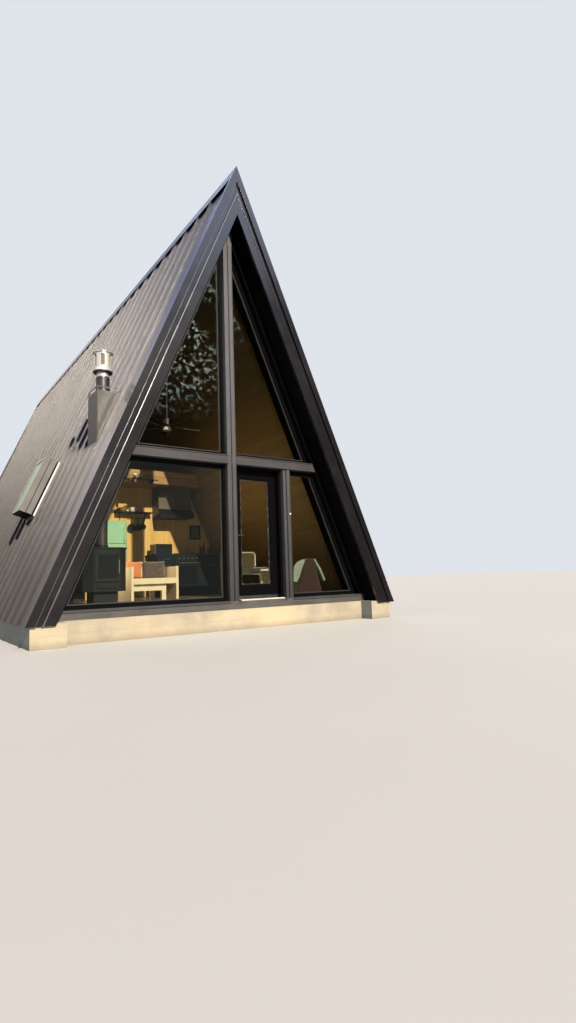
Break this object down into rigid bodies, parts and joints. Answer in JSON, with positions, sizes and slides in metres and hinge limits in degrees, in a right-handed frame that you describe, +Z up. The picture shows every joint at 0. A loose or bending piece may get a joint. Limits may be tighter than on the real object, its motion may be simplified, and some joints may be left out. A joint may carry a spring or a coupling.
{
  "type": "a-frame cabin",
  "caption": "Steep A-frame cabin with standing seam roof slopes, a glazed front gable with a hinged door, roof window and chimney.",
  "frame": {"origin": "on the ground, under the middle of the ridge", "axes": "+Z up, +Y along the ridge from the glazed gable to the back, +X to the right as seen from the front"},
  "size_m": [5.9404, 13.775, 7.2192],
  "materials": {
    "concrete": "broom-finished concrete",
    "roof_metal": "satin coated sheet",
    "trim_metal": "satin coated sheet",
    "dark_board": "dark stained boards",
    "black_board": "black painted boards",
    "post_paint": "grey-brown painted timber",
    "frame_black": "black coated frames",
    "glass": "clear glazing",
    "lining_wood": "warm varnished boards",
    "floor_wood": "varnished boards",
    "threshold_metal": "brushed",
    "steel": "bright stainless",
    "flue_black": "matt black",
    "chase_metal": "dark bronze sheet",
    "iron": "matt black",
    "fan_dark": "dark stained",
    "hardware": "black handle and hinges",
    "wall_siding": "dark sheet siding",
    "partition_wood": "clear varnished boards",
    "cabinet_paint": "dark painted fronts",
    "wall_cabinet_paint": "painted fronts",
    "enamel": "pale green enamel",
    "sofa_wood": "pale lacquered wood",
    "cushion_fabric": "woven covers",
    "armchair_fabric": "tan woven cover",
    "tub_fabric": "dark red-brown cover",
    "table_wood": "pale painted boards"
  },
  "bodies": {
    "cabin": {"armchair": "armchair_fabric", "back_wall": "wall_siding", "back_window_frames": "frame_black", "back_window_glass": "glass", "centre_post": "post_paint", "chimney_cap": "steel", "chimney_chase": "chase_metal", "cladding_left": "roof_metal", "cladding_right": "roof_metal", "door_frame": "frame_black", "door_hinges_fixed": "hardware", "door_post": "post_paint", "fan_mount": "fan_dark", "floor": "floor_wood", "flue_pipe": "flue_black", "foundation": "concrete", "fridge": "enamel", "front_sill": "dark_board", "kitchen_cabinets": "wall_cabinet_paint", "kitchen_counter": "cabinet_paint", "lining_left": "lining_wood", "lining_right": "lining_wood", "loft_floor": "lining_wood", "low_table": "table_wood", "partition_wall": "partition_wood", "rake_board_back": "trim_metal", "rake_board_front_left": "trim_metal", "rake_board_front_right": "trim_metal", "rake_trim_back": "trim_metal", "rake_trim_front_left": "trim_metal", "rake_trim_front_right": "trim_metal", "ridge_cap": "roof_metal", "roof_left": "black_board", "roof_right": "black_board", "roof_window_frame": "trim_metal", "roof_window_glass": "glass", "roof_window_sash": "trim_metal", "slant_board_left": "black_board", "slant_board_right": "black_board", "sofa": "sofa_wood", "sofa_cushions": "cushion_fabric", "soffit_left": "black_board", "soffit_right": "black_board", "stove": "iron", "threshold": "threshold_metal", "transom": "post_paint", "tub_chair": "tub_fabric", "window_frame_lower_left": "frame_black", "window_frame_lower_right": "frame_black", "window_frame_upper_left": "frame_black", "window_frame_upper_right": "frame_black", "window_glass_lower_left": "glass", "window_glass_lower_right": "glass", "window_glass_upper_left": "glass", "window_glass_upper_right": "glass"},
    "door": {"door_leaf": "frame_black", "door_glass": "glass", "door_handle": "hardware", "door_hinges_moving": "hardware"},
    "fan": {"fan_rotor": "fan_dark"}
  },
  "joints": [
    {"name": "door_hinge", "type": "hinge", "parent": "cabin", "child": "door", "pos_m": [0.9215, -6.2865, 1.4], "axis": [0, 0, -1], "range_deg": [0, 100]},
    {"name": "fan_spin", "type": "hinge", "parent": "cabin", "child": "fan", "pos_m": [0, -4.0895, 3.669], "axis": [0, 0, 1], "continuous": true}
  ]
}
